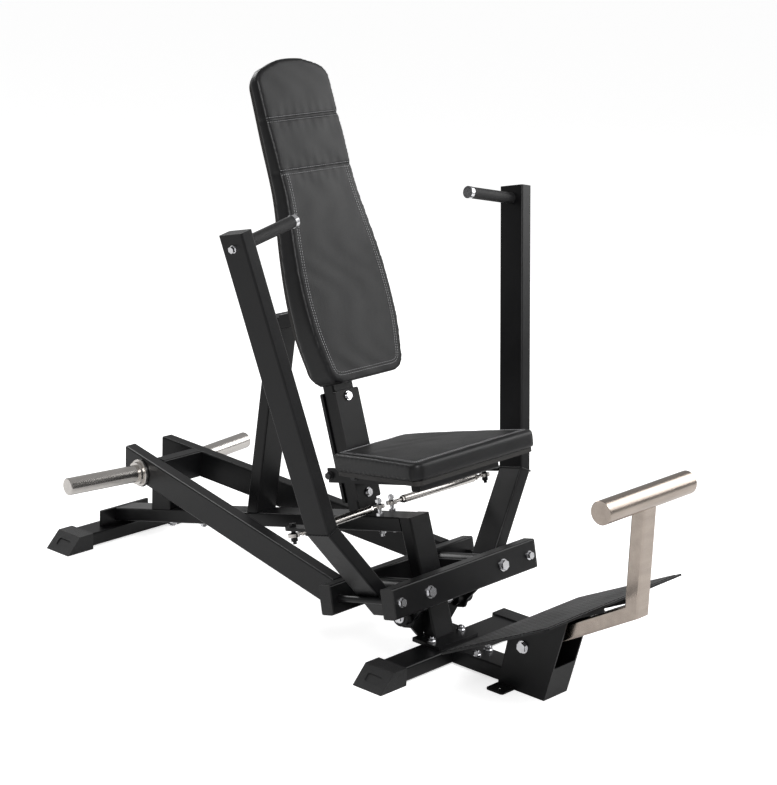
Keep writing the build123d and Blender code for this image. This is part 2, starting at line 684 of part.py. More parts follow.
mitre = ((low_dir[0] + top_dir[0]), (low_dir[1] + top_dir[1]))
grip_at = (arm_top[0] - top_dir[0] * grip_drop, arm_top[1] - top_dir[1] * grip_drop)
grip_run = (-top_dir[1], top_dir[0])
for hand, word in ((-1, "left"), (1, "right")):
    low_plane = Plane(origin=arm_point(hand, *arm_low), x_dir=lever_back, z_dir=arm_dir(hand, low_dir))
    elbow_plane = Plane(origin=arm_point(hand, *arm_elbow), x_dir=lever_back, z_dir=arm_dir(hand, mitre))
    top_plane = Plane(origin=arm_point(hand, *arm_elbow), x_dir=lever_back, z_dir=arm_dir(hand, top_dir))
    grip_line = Plane(origin=arm_point(hand, *grip_at), z_dir=arm_dir(hand, grip_run))

    with BuildPart() as press_arm:
        extrude(box_section(low_plane, tube_w, tube_d), amount=low_length + tube_w)
        with BuildSketch(low_plane) as low_closure:
            RectangleRounded(tube_w, tube_d, tube_corner)
        extrude(low_closure.sketch, amount=tube_wall)
        split(bisect_by=elbow_plane, keep=Keep.BOTTOM)
    with BuildPart() as press_arm_top:
        extrude(box_section(top_plane.offset(-tube_w), tube_w, tube_d), amount=top_length + tube_w)
        with BuildSketch(top_plane.offset(top_length - tube_wall)) as top_closure:
            RectangleRounded(tube_w, tube_d, tube_corner)
        extrude(top_closure.sketch, amount=tube_wall)
        split(bisect_by=elbow_plane, keep=Keep.TOP)
        add(press_arm.part)
        extrude(disc(grip_line.offset(-tube_d), pin_r + seat_fit), amount=2 * tube_d, mode=Mode.SUBTRACT)
    save(press_arm_top.part, f"press_arm_{word}")

    with BuildPart() as arm_pivot:
        housing_plane = Plane(origin=in_lever(hand * swing_x, tube_d + swing_housing_end, 0), z_dir=lever_back)
        web_plane = Plane(origin=arm_point(hand, swing_x, 0, arm_mid_y - tube_w / 2),
                          x_dir=arm_dir(hand, (low_dir[1], -low_dir[0])), z_dir=lever_back)
        web_reach = (stop_x - swing_x) * low_dir[1] - stop_clear - tube_d
        with BuildSketch(web_plane) as web:
            with Locations((web_reach / 2, 0)):
                Rectangle(web_reach, 1.6 * swing_housing_r)
        extrude(web.sketch, amount=tube_w)
        extrude(disc(housing_plane, swing_housing_r), amount=crossbar_gap - 2 * swing_housing_end)
        extrude(disc(housing_plane.offset(-tube_w), swing_bolt_r + bush_wall + seat_fit),
                amount=crossbar_gap + 2 * tube_w, mode=Mode.SUBTRACT)
    save(arm_pivot.part, f"arm_pivot_{word}")

    with BuildPart() as arm_bush:
        extrude(disc(housing_plane, swing_bolt_r + bush_wall, swing_bolt_r + running_fit),
                amount=crossbar_gap - 2 * swing_housing_end)
    save(arm_bush.part, f"arm_bush_{word}")

    with BuildPart() as grip:
        extrude(disc(grip_line.offset(tube_d / 2), grip_r, grip_core_r + seat_fit), amount=grip_length)
        fillet(grip.faces().sort_by_distance(grip_line.offset(grip_length + tube_d).origin)[0].edges(), 1.5)
    save(grip.part, f"grip_{word}")

    with BuildPart() as grip_bar:
        extrude(disc(grip_line.offset(tube_d / 2), grip_core_r), amount=grip_length)
        extrude(disc(grip_line.offset(tube_d / 2 + grip_length), grip_r + 1), amount=grip_cap_t)
        extrude(disc(grip_line.offset(-tube_d / 2), pin_r), amount=tube_d)
        extrude(disc(grip_line.offset(-tube_d / 2), 2 * pin_r), amount=-washer_t)
        extrude(hexagon(grip_line.offset(-tube_d / 2 - washer_t), 1.8 * pin_r), amount=-head_h)
    save(grip_bar.part, f"grip_bar_{word}")

    lug_low = rod_ball_up + eye_r
    ball_point = in_lever(hand * rod_ball_x, rod_ball_back, rod_ball_up)
    with BuildPart() as rod_lug:
        lug_foot = in_lever(hand * rod_ball_x, arm_back, lug_low)
        lug_plane = Plane(origin=lug_foot, x_dir=lever_back, z_dir=lever_up)
        lug_reach = rod_ball_back - arm_back
        with BuildSketch(lug_plane) as lug:
            with Locations((lug_reach / 2, 0)):
                Rectangle(lug_reach, lug_w)
            with Locations((lug_reach, 0)):
                Circle(lug_w / 2)
        extrude(lug.sketch, amount=lug_t)
        bolt_line = Plane(origin=ball_point, z_dir=lever_up)
        extrude(disc(bolt_line.offset(-eye_r - head_h), pin_r), amount=2 * eye_r + lug_t + 2 * head_h)
        extrude(disc(bolt_line.offset(0.8 * ball_r), 1.2 * pin_r), amount=eye_r - 0.8 * ball_r)
        extrude(hexagon(bolt_line.offset(eye_r + lug_t), 1.8 * pin_r), amount=head_h)
        extrude(hexagon(bolt_line.offset(-0.8 * ball_r), 1.8 * pin_r), amount=-head_h)
        with Locations(bolt_line):
            Sphere(ball_r)
    save(rod_lug.part, f"rod_lug_{word}")

# ==== Tie rods and their studs =============================================
for hand, word in ((-1, "left"), (1, "right")):
    stud_ball = place(hand * stud_x, stud_y, spine_height(stud_y)) + spine_up * stud_rise
    arm_ball = in_lever(hand * rod_ball_x, rod_ball_back, rod_ball_up)
    reach = arm_ball - stud_ball
    rod_dir = reach.normalized()
    for part_name, centre, way, pin_way in (
        (f"tie_rod_{word}", stud_ball, rod_dir, spine_up), (f"rod_end_{word}", arm_ball, -rod_dir, lever_up),
    ):
        fixed_rod = centre is stud_ball
        shaft_line = Plane(origin=centre, z_dir=way)
        ring_line = Plane(origin=centre, z_dir=(pin_way - way * pin_way.dot(way)).normalized())
        with BuildPart() as rod:
            extrude(disc(shaft_line, shank_r), amount=rod_tube_start + 1 if fixed_rod else shank_reach)
            if fixed_rod:
                tube_end = reach.length - rod_tube_start
                extrude(disc(shaft_line.offset(rod_tube_start - 2), rod_r), amount=tube_end - rod_tube_start + 2)
                extrude(disc(shaft_line.offset(tube_end - rod_tube_start), rod_bore_r),
                        amount=rod_tube_start, mode=Mode.SUBTRACT)
                extrude(hexagon(shaft_line.offset(rod_tube_start - 10), 1.9 * shank_r), amount=8)
            else:
                extrude(hexagon(shaft_line.offset(rod_tube_start - 16), 1.7 * shank_r), amount=7)
            extrude(disc(ring_line, eye_r), amount=eye_t / 2, both=True)
            with Locations(ring_line):
                Sphere(ball_r + socket_gap, mode=Mode.SUBTRACT)
        save(rod.part, part_name)

with BuildPart() as rod_studs:
    for hand in (-1, 1):
        foot = place(hand * stud_x, stud_y, spine_height(stud_y))
        stud_line = Plane(origin=foot, z_dir=spine_up)
        stud_length = tube_d + 3 * head_h + stud_rise + stud_nut_rise + 3
        extrude(disc(stud_line.offset(-tube_d - 2 * head_h), pin_r), amount=stud_length)
        extrude(hexagon(stud_line, 2 * pin_r), amount=head_h)
        extrude(disc(stud_line.offset(stud_rise), 1.2 * pin_r), amount=stud_nut_rise, both=True)
        extrude(hexagon(stud_line.offset(stud_rise + stud_nut_rise), 1.8 * pin_r), amount=head_h)
        extrude(hexagon(stud_line.offset(-tube_d), 2 * pin_r), amount=-head_h)
        with Locations(stud_line.offset(stud_rise)):
            Sphere(ball_r)
save(rod_studs.part, "rod_studs")

# ==== Seat post ============================================================
post_up = Vector(0, sin(radians(post_lean)), cos(radians(post_lean)))
post_back = Vector(0, cos(radians(post_lean)), -sin(radians(post_lean)))
rack_foot = place(0, post_face_y, post_face_z)
post_middle = rack_foot + post_back * (rack_t + tube_d / 2)
with BuildPart() as seat_post:
    post_plane = Plane(origin=post_middle - post_up * tube_w * 2, x_dir=(1, 0, 0), z_dir=post_up)
    extrude(box_section(post_plane, tube_w, tube_d), amount=post_top + 2 * tube_w)
    with BuildSketch(post_plane.offset(post_top + 2 * tube_w)) as post_closure:
        RectangleRounded(tube_w, tube_d, tube_corner)
    extrude(post_closure.sketch, amount=-tube_wall)
    split(bisect_by=spine_top, keep=Keep.TOP)
save(seat_post.part, "seat_post")

rack_bolt_runs = (18.0, rack_length - 18.0)
with BuildPart() as seat_post_plates:
    for back in (0.0, rack_t + tube_d):
        rack_plane = Plane(origin=rack_foot + post_back * back, x_dir=(1, 0, 0), z_dir=post_back)
        with BuildSketch(rack_plane) as rack:
            with Locations((0, -rack_length / 2)):
                RectangleRounded(rack_w, rack_length, 6)
                for run in rack_bolt_runs:
                    with Locations((0, rack_length / 2 - run)):
                        Circle(bolt_r, mode=Mode.SUBTRACT)
        extrude(rack.sketch, amount=rack_t)
save(seat_post_plates.part, "seat_post_plates")

# ==== Seat =================================================================
seat_fore = Vector(0, -cos(radians(seat_tilt)), sin(radians(seat_tilt)))
seat_down = Vector(0, -sin(radians(seat_tilt)), -cos(radians(seat_tilt)))
seat_plane = Plane(origin=place(0, seat_rear_y, seat_rear_z), x_dir=(1, 0, 0), z_dir=seat_down)


def seat_outline(plane, inset):
    """Seat outline, wider at its front, with rounded corners."""
    with BuildSketch(plane) as outline:
        with BuildLine():
            Polyline((-seat_rear_half, 0), (seat_rear_half, 0), (seat_front_half, seat_length),
                     (-seat_front_half, seat_length), close=True)
        make_face()
        fillet(outline.vertices(), seat_corner)
        if inset:
            offset(amount=-inset)
    return outline.sketch


with BuildPart() as seat_pad:
    extrude(seat_outline(seat_plane, 0), amount=seat_pad_t)
    fillet(seat_pad.faces().sort_by(Axis((0, 0, 0), tuple(seat_down)))[0].edges(), 8)
save(seat_pad.part, "seat_pad")

with BuildPart() as seat_board:
    extrude(seat_outline(seat_plane.offset(seat_pad_t), board_inset), amount=seat_board_t)
save(seat_board.part, "seat_board")

rail_top = seat_pad_t + seat_board_t
rail_x = rack_w / 2 + rail_gap
rail_middle = seat_plane.origin + seat_down * (rail_top + rail_h / 2)


def roller_centre(back):
    """Centre of a roller that runs at a distance behind the front rack plate."""
    run = (rack_foot - rail_middle).dot(post_back) + back
    return rail_middle + seat_fore * (run / seat_fore.dot(post_back))


roller_places = [
    roller_centre(-roller_r - soft_gap), roller_centre(2 * rack_t + tube_d + roller_r + soft_gap)
]
with BuildPart() as seat_carriage:
    for hand in (-1, 1):
        rail_plane = Plane(origin=rail_middle + Vector(hand * rail_x, 0, 0), x_dir=seat_fore, z_dir=(1, 0, 0))
        with BuildSketch(rail_plane) as rail:
            with Locations(((rail_front - rail_rear) / 2, 0)):
                Rectangle(rail_front + rail_rear, rail_h)
        extrude(rail.sketch, amount=hand * rail_t)
    cross_middle = seat_plane.origin + seat_down * (rail_top + crosspiece_h / 2) + seat_fore * crosspiece_run
    cross_plane = Plane(origin=cross_middle, x_dir=seat_fore, z_dir=(1, 0, 0))
    extrude(box_section(cross_plane, crosspiece_t, crosspiece_h), amount=crosspiece_half, both=True)
    for hand in (-1, 1):
        with BuildSketch(cross_plane.offset(hand * crosspiece_half)) as cross_closure:
            RectangleRounded(crosspiece_t, crosspiece_h, tube_corner)
        extrude(cross_closure.sketch, amount=-hand * tube_wall)
    for centre in roller_places:
        bore = Plane(origin=centre, z_dir=(1, 0, 0))
        extrude(disc(bore, bolt_r + seat_fit), amount=2 * rail_x, both=True, mode=Mode.SUBTRACT)
save(seat_carriage.part, "seat_carriage")

with BuildPart() as seat_rollers:
    for centre in roller_places:
        middle = Plane(origin=centre, z_dir=(1, 0, 0))
        extrude(disc(middle, bolt_r), amount=rail_x + rail_t, both=True)
        for hand in (-1, 1):
            wheel = Plane(origin=centre + Vector(hand * (rail_x - 1), 0, 0), z_dir=(-hand, 0, 0))
            extrude(disc(wheel, roller_r), amount=roller_w)
            outside = Plane(origin=centre + Vector(hand * (rail_x + rail_t), 0, 0), z_dir=(hand, 0, 0))
            extrude(disc(outside, 2.0 * bolt_r), amount=washer_t)
            extrude(hexagon(outside.offset(washer_t), 1.7 * bolt_r), amount=head_h)
save(seat_rollers.part, "seat_rollers")

# ==== Backrest =============================================================
face_up = Vector(0, sin(radians(back_lean)), cos(radians(back_lean)))
face_fore = Vector(0, -cos(radians(back_lean)), sin(radians(back_lean)))
face_plane = Plane(origin=place(0, back_face_y, back_face_z), x_dir=(1, 0, 0), z_dir=face_fore)
board_top = face_plane.origin + face_up * back_top - face_fore * back_pad_top_t
board_plane = Plane(origin=board_top - post_up * back_top, x_dir=(1, 0, 0), z_dir=-post_back)
board_back = board_plane.offset(-back_board_t)


def backrest_outline(plane, inset):
    """Backrest outline: a narrow rounded head over a wide lower third."""
    low = back_bottom + inset
    top = back_top - inset
    widths = (
        (lumbar_half - 2, -430), (lumbar_half, -300), (shoulder_half, -150), (head_half, -60), (head_half, 60),
    )
    with BuildSketch(plane) as outline:
        with BuildLine():
            Line((0, low), (lumbar_half - 66 - inset, low))
            TangentArc((lumbar_half - 66 - inset, low), (lumbar_half - 20 - inset, low + 46), tangent=(1, 0))
            Spline(
                (lumbar_half - 20 - inset, low + 46), *[(half - inset, up) for half, up in widths],
                (head_half - inset, top - 68), tangents=((0.25, 1), (0, 1)),
            )
            TangentArc((head_half - inset, top - 68), (head_half - 44 - inset, top - 20), tangent=(0, 1))
            TangentArc((0, top), (head_half - 44 - inset, top - 20), tangent=(1, 0))
            mirror(about=Plane.YZ)
        make_face()
    return outline.sketch


with BuildPart() as backrest_pad:
    extrude(backrest_outline(face_plane, 0), amount=-3 * tube_d)
    split(bisect_by=board_plane, keep=Keep.TOP)
save(backrest_pad.part, "backrest_pad")

with BuildPart() as backrest_board:
    extrude(backrest_outline(board_plane, board_inset), amount=-back_board_t)
save(backrest_board.part, "backrest_board")

strut_up = Vector(0, -sin(radians(strut_lean)), cos(radians(strut_lean)))
strut_plane = Plane(origin=place(0, strut_foot_y, strut_foot_z), x_dir=(1, 0, 0), z_dir=strut_up)
strut_front = Plane(origin=strut_plane.origin - strut_plane.y_dir * (tube_d / 2), z_dir=-strut_plane.y_dir)
strut_top = Plane(origin=(0, 0, strut_top_z))
strut_lid = bar_slice(strut_plane, tube_w, tube_d, strut_top_z, strut_top.offset(-tube_wall), strut_top)
with BuildPart() as backrest_strut:
    extrude(box_section(strut_plane.offset(-tube_w), tube_w, tube_d), amount=strut_top_z)
    split(bisect_by=spine_top, keep=Keep.TOP)
    split(bisect_by=strut_top, keep=Keep.BOTTOM)
    add(strut_lid)
save(backrest_strut.part, "backrest_strut")

post_front = rack_foot + post_back * rack_t
with BuildPart() as backrest_bracket:
    bracket_y = strut_foot_y - (bracket_z - strut_foot_z) * tan(radians(strut_lean))
    bracket_line = Plane(origin=place(0, bracket_y, bracket_z), x_dir=(1, 0, 0), z_dir=-post_back)
    extrude(box_section(bracket_line, tube_w, tube_d), amount=2 * rear_plate_w)
    split(bisect_by=strut_front, keep=Keep.TOP)
    split(bisect_by=board_back.offset(-bracket_plate_t), keep=Keep.BOTTOM)
    tube_reach = (bracket_line.origin - board_back.origin).dot(post_back)
    bracket_end = Plane(origin=bracket_line.origin - post_back * tube_reach, x_dir=(1, 0, 0), z_dir=post_back)
    with BuildSketch(bracket_end) as bracket_plate:
        RectangleRounded(1.6 * tube_w, 2 * tube_w, 8)
    extrude(bracket_plate.sketch, amount=bracket_plate_t)
    packer_start = post_front + post_up * (post_top - packer_length / 2 - 4)
    packer_t = (post_front - board_back.origin).dot(post_back)
    with BuildSketch(Plane(origin=packer_start, x_dir=(1, 0, 0), z_dir=-post_back)) as packer:
        RectangleRounded(packer_w, packer_length, 4)
    extrude(packer.sketch, amount=packer_t)
save(backrest_bracket.part, "backrest_bracket")

# ==== Lever rest ===========================================================
rest_top = cross_tube_z - tube_w / 2 - soft_gap - bumper_t
with BuildPart() as rest_post:
    rest_plane = Plane(origin=place(0, rest_post_y, 0))
    extrude(box_section(rest_plane, tube_w, rest_post_depth), amount=rest_top)
    split(bisect_by=spine_top, keep=Keep.TOP)
save(rest_post.part, "rest_post")

with BuildPart() as rest_bumper:
    with BuildSketch(Plane(origin=place(0, rest_post_y, rest_top))) as bumper:
        RectangleRounded(tube_w - 4, rest_post_depth - 4, tube_corner)
    extrude(bumper.sketch, amount=bumper_t)
save(rest_bumper.part, "rest_bumper")

# ==== Frame bolts ==========================================================
column_bolts = [place(hand * 60, 62, plate_top) for hand in (-1, 1)]
stub_bolts = [place(hand * 24, -64, base_top) for hand in (-1, 1)]
spine_nuts = [
    place(hand * 20, y, spine_height(y)) - spine_up * tube_d for hand in (-1, 1) for y in (1122, 990)
]
rack_bolts = [rack_foot + post_up * run for run in rack_bolt_runs]
rear_rack_bolts = [point + post_back * (2 * rack_t + tube_d) for point in rack_bolts]
with BuildPart() as frame_bolts:
    add_bolt(place(-box_half, *foot_pivot), Vector(1, 0, 0), 2 * box_half, foot_pivot_r)
    for points, way in (
        (column_bolts, Vector(0, 0, 1)), (stub_bolts, Vector(0, 0, 1)), (spine_nuts, -spine_up),
    ):
        for point in points:
            bolt_plane = Plane(origin=point, z_dir=way)
            extrude(disc(bolt_plane, 2.1 * bolt_r), amount=washer_t)
            extrude(hexagon(bolt_plane.offset(washer_t), 1.75 * bolt_r), amount=head_h)
            extrude(disc(bolt_plane.offset(washer_t + head_h), 0.9 * bolt_r), amount=washer_t)
    for points, way in ((rack_bolts, -post_back), (rear_rack_bolts, post_back)):
        for point in points:
            bolt_plane = Plane(origin=point, z_dir=way)
            extrude(disc(bolt_plane, 2.1 * bolt_r), amount=washer_t)
            extrude(disc(bolt_plane.offset(washer_t), 1.6 * bolt_r), amount=low_head_h)
save(frame_bolts.part, "frame_bolts")
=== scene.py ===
"""Looks of a plate-loaded chest press: materials, upholstery, stitching, welds, light and camera.

Metres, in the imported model's frame: +Z up, floor at z = 0, the user faces -Y.
"""
import json
import math

import bmesh
import bpy
import numpy as np
from mathutils import Matrix, Vector
from mathutils.bvhtree import BVHTree


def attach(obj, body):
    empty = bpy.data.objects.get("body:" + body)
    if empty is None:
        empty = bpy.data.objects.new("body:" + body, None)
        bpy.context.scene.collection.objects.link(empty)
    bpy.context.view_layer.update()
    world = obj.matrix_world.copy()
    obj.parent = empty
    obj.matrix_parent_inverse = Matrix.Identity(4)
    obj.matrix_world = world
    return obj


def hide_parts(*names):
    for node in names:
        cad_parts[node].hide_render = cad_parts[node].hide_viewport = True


# Backrest face: a point on it, its slope and the heights of its cross seams.
BACK_ORIGIN = Vector((0, 0.1695, 1.235))
BACK_LEAN = math.radians(22.5)
BACK_SEAMS = (0.142, -0.001)
# Seat top: rear edge and slope.
SEAT_ORIGIN = Vector((0, -0.0535, 0.517))
SEAT_TILT = math.radians(12.3)

# Middle of the front crossbar's bolts, on its front face, and the lever's rest tilt.
LEVER_BOLTS = Vector((0, -0.4205, 0.234))
LEVER_TILT = math.radians(13)
# A press arm in the tilted frame: elbow across, behind and above the bolts, then the
# run of its lower and upper tube across and up, and half of the tube's two sides.
ELBOW = (0.3866, 0.120, 0.211)
LOWER_RUN = (0.6120, 0.7909)
UPPER_RUN = (0.1971, 0.9804)
TUBE_HALF = (0.020, 0.040)
# A weight horn's weld: from the mount's middle back to the arm, and the bead's radius.
HORN_WELD_BACK = 0.134
HORN_WELD_REACH = 0.0402
HORN_WELD_POINTS = 90

REMESH = 0.005           # voxel of the upholstery mesh
SMOOTHING = 14           # passes that round the foam's edges
CROWN = 0.004            # how far the foam stands over its edges
SEAM_DEPTH = 0.0022
SEAM_WIDTH = 0.0045
STITCH_PITCH = 0.0072
STITCH_LENGTH = 0.0050
STITCH_RADIUS = 0.00055
STITCH_INSETS = (0.020, 0.027)
STITCH_SIDES = 6
SEAM_STITCH_OFFSET = 0.006   # rows of stitches beside a cross seam
SEAM_STITCH_END = 0.004      # how far those rows stop short of the face's edge
SEAT_EDGE_ROUND = 0.008      # the seat's flat top starts this far inside its side
FACE_TOLERANCE = 0.0006      # vertices this near a pad's face plane belong to it
WELD_RADIUS = 0.0022
PATCH_SCALE = 9.0        # clouds of colour and roughness, per metre
FLOOR_GLOW = 0.68        # light the floor adds for the camera alone

# Camera fitted to the machine's own corners.
CAMERA_AT = Vector((-4.0542, -3.6913, 2.1771))
CAMERA_AZIMUTH = math.radians(-48.618)
CAMERA_ELEVATION = math.radians(15.546)
CAMERA_ROLL = math.radians(2.324)
CAMERA_LENS = 96.97


# ---- Materials -------------------------------------------------------------
def surface(name, colour, rough, metal=0.0, grain=400.0, bump=0.1, vary=0.25,
            stretch=(1, 1, 1), cells=False, gloss=0.5, bands=None):
    """Material with colour variation, roughness patches and a fine surface relief."""
    material = bpy.data.materials.new(name)
    material.use_nodes = True
    nodes, links = material.node_tree.nodes, material.node_tree.links
    shader = nodes["Principled BSDF"]
    shader.inputs["Metallic"].default_value = metal
    shader.inputs["Specular IOR Level"].default_value = gloss
    place = nodes.new("ShaderNodeTexCoord")
    mapping = nodes.new("ShaderNodeMapping")
    mapping.inputs["Scale"].default_value = stretch
    links.new(place.outputs["Object"], mapping.inputs["Vector"])

    clouds = nodes.new("ShaderNodeTexNoise")
    clouds.inputs["Scale"].default_value = PATCH_SCALE
    clouds.inputs["Detail"].default_value = 6
    links.new(mapping.outputs["Vector"], clouds.inputs["Vector"])
    ramp = nodes.new("ShaderNodeValToRGB")
    ramp.color_ramp.elements[0].position = 0.3
    ramp.color_ramp.elements[1].position = 0.7
    ramp.color_ramp.elements[0].color = [c * (1 - vary) for c in colour] + [1]
    ramp.color_ramp.elements[1].color = [min(1, c * (1 + vary)) for c in colour] + [1]
    links.new(clouds.outputs["Fac"], ramp.inputs["Fac"])
    links.new(ramp.outputs["Color"], shader.inputs["Base Color"])

    spread = nodes.new("ShaderNodeMapRange")
    spread.inputs["To Min"].default_value = max(0.02, rough * 0.8)
    spread.inputs["To Max"].default_value = min(1.0, rough * 1.25)
    links.new(clouds.outputs["Fac"], spread.inputs["Value"])
    links.new(spread.outputs["Result"], shader.inputs["Roughness"])

    fine = nodes.new("ShaderNodeTexVoronoi" if cells else "ShaderNodeTexNoise")
    fine.inputs["Scale"].default_value = grain
    links.new(mapping.outputs["Vector"], fine.inputs["Vector"])
    relief = nodes.new("ShaderNodeBump")
    relief.inputs["Strength"].default_value = bump
    relief.inputs["Distance"].default_value = 0.0006
    links.new(fine.outputs["Distance" if cells else "Fac"], relief.inputs["Height"])
    links.new(relief.outputs["Normal"], shader.inputs["Normal"])
    if bands:
        add_bands(nodes, links, place, relief, ramp, shader, *bands)
    return material


def add_bands(nodes, links, place, relief, ramp, shader, scale, depth, lift):
    """Raised diagonal bars, broken into short lengths by a second set that crosses them."""
    heights = []
    for turn in (45, -45):
        mapping = nodes.new("ShaderNodeMapping")
        mapping.inputs["Rotation"].default_value = (0, 0, math.radians(turn))
        wave = nodes.new("ShaderNodeTexWave")
        wave.inputs["Scale"].default_value = scale
        links.new(place.outputs["Object"], mapping.inputs["Vector"])
        links.new(mapping.outputs["Vector"], wave.inputs["Vector"])
        heights.append(wave.outputs["Fac"])
    both = nodes.new("ShaderNodeMath")
    both.operation = "MULTIPLY"
    links.new(heights[0], both.inputs[0])
    links.new(heights[1], both.inputs[1])
    bars = nodes.new("ShaderNodeBump")
    bars.inputs["Strength"].default_value = 1.0
    bars.inputs["Distance"].default_value = depth
    links.new(both.outputs[0], bars.inputs["Height"])
    links.new(relief.outputs["Normal"], bars.inputs["Normal"])
    links.new(bars.outputs["Normal"], shader.inputs["Normal"])
    # The raised bars are given a lighter colour than the rubber between them.
    bar_tone = nodes.new("ShaderNodeMix")
    bar_tone.data_type = "RGBA"
    bar_tone.inputs["B"].default_value = (lift, lift, lift, 1)
    links.new(both.outputs[0], bar_tone.inputs["Factor"])
    links.new(ramp.outputs["Color"], bar_tone.inputs["A"])
    links.new(bar_tone.outputs["Result"], shader.inputs["Base Color"])


def make_materials():
    """One material per slot of the record, and one for the thread."""
    black = (0.0045, 0.0045, 0.005)
    return {
        "black_frame": surface("powder_coat", black, 0.32, grain=1300, bump=0.10, gloss=0.28),
        "black_rubber": surface("rubber", (0.009, 0.009, 0.0095), 0.55, grain=900, bump=0.5, cells=True),
        "black_vinyl": surface("vinyl", (0.006, 0.006, 0.0065), 0.36, grain=620, bump=0.30,
                               cells=True, gloss=0.30),
        "plywood": surface("stained_plywood", (0.014, 0.012, 0.011), 0.55, grain=180, bump=0.3,
                           stretch=(1, 1, 12)),
        "black_plastic": surface("plastic", (0.02, 0.02, 0.021), 0.40, grain=700, bump=0.15),
        "tread_rubber": surface("tread", (0.008, 0.008, 0.0085), 0.50, grain=900, bump=0.4,
                                bands=(26.0, 0.0012, 0.030)),
        "chrome_hardware": surface("chrome", (0.78, 0.78, 0.80), 0.14, metal=1.0, grain=500, bump=0.03,
                                   vary=0.05),
        "polished_steel": surface("polished_steel", (0.66, 0.63, 0.60), 0.22, metal=1.0, grain=300,
                                  bump=0.05, vary=0.06, stretch=(1, 8, 8)),
        "nickel_plate": surface("nickel_plate", (0.46, 0.395, 0.345), 0.24, metal=1.0, grain=260, bump=0.06,
                                vary=0.10, stretch=(1, 5, 5)),
        "bronze": surface("bronze", (0.55, 0.37, 0.17), 0.30, metal=1.0, grain=400, bump=0.1),
        "thread": surface("thread", (0.42, 0.42, 0.43), 0.70, grain=3000, bump=0.6, vary=0.15),
    }


# ---- Upholstery ------------------------------------------------------------
def plane_points(outline, step):
    """Even points along a closed line given as rows of (x, y)."""
    loop = np.vstack([outline, outline[:1]])
    lengths = np.linalg.norm(np.diff(loop, axis=0), axis=1)
    travelled = np.concatenate([[0], np.cumsum(lengths)])
    at = np.arange(0, travelled[-1], step)
    return np.stack([np.interp(at, travelled, loop[:, k]) for k in (0, 1)], axis=1)


def front_outline(node, origin, up, out):
    """Outline of a pad's front face in its own plane, in order around it."""
    rows = []
    for vertex in node.data.vertices:
        offset = vertex.co - origin
        if offset.dot(out) > -FACE_TOLERANCE:
            rows.append((offset.x, offset.dot(up)))
    rows = np.unique(np.round(np.array(rows), 5), axis=0)
    middle = (rows.max(0) + rows.min(0)) / 2
    angles = np.arctan2(rows[:, 1] - middle[1], rows[:, 0] - middle[0])
    return rows[np.argsort(angles)]


def inset_line(outline, inset, step):
    """The outline moved inwards, with even points."""
    fine = plane_points(outline, 0.004)
    smooth = sum(np.roll(fine, k, axis=0) for k in range(-4, 5)) / 9
    along = np.roll(smooth, -2, axis=0) - np.roll(smooth, 2, axis=0)
    along /= np.linalg.norm(along, axis=1)[:, None]
    inward = np.stack([-along[:, 1], along[:, 0]], axis=1)
    return plane_points(smooth + inward * inset, step)


def soft_mesh(node, name):
    """Fine closed mesh of a foam piece with its edges rounded, from its CAD solid."""
    body = bpy.data.objects.new(name, node.data.copy())
    bpy.context.scene.collection.objects.link(body)
    remesh = body.modifiers.new("remesh", "REMESH")
    remesh.mode = "VOXEL"
    remesh.voxel_size = REMESH
    smooth = body.modifiers.new("smooth", "SMOOTH")
    smooth.factor = 0.5
    smooth.iterations = SMOOTHING
    evaluated = body.evaluated_get(bpy.context.evaluated_depsgraph_get())
    mesh = bpy.data.meshes.new_from_object(evaluated)
    body.modifiers.clear()
    body.data = mesh
    mesh.shade_smooth()
    return body


def upholster(name, node_name, body_name, origin, up, out, seams, material):
    """Foam piece with a crowned face, pulled-in cross seams and faint creases."""
    node = frame["nodes"][node_name]
    outline = front_outline(node, origin, up, out)
    piece = soft_mesh(node, name)
    mesh = piece.data
    places = np.array([v.co for v in mesh.vertices])
    normals = np.array([v.normal for v in mesh.vertices])
    offset = places - np.array(origin)
    across, run, rise = offset[:, 0], offset @ np.array(up), offset @ np.array(out)
    low, high = outline.min(0), outline.max(0)
    facing = np.clip(normals @ np.array(out), 0, 1)
    edges = [low[1], *sorted(seams), high[1]]
    crown = np.zeros(len(places))
    for start, end in zip(edges, edges[1:]):
        share = np.clip((run - start) / (end - start), 0, 1)
        inside = (run >= start) & (run <= end)
        crown += inside * np.sqrt(np.clip(4 * share * (1 - share), 0, 1))
    width = np.clip(1 - (across / (0.98 * high[0])) ** 2, 0, 1) ** 0.6
    move = CROWN * crown * width * facing
    for seam in seams:
        groove = np.exp(-((run - seam) / SEAM_WIDTH) ** 2)
        move -= SEAM_DEPTH * groove * (rise > -0.03)
        pull = np.exp(-((run - seam) / (7 * SEAM_WIDTH)) ** 2)
        move += 0.00025 * pull * np.sin(across * 210) * facing
    move += 0.0004 * np.sin(across * 61 + 3 * np.sin(run * 23)) * np.sin(run * 37 + across * 11) * facing
    places += normals * move[:, None]
    mesh.vertices.foreach_set("co", places.ravel())
    mesh.update()
    mesh.materials.clear()
    mesh.materials.append(material)
    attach(piece, body_name)
    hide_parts(node_name)
    return piece, outline


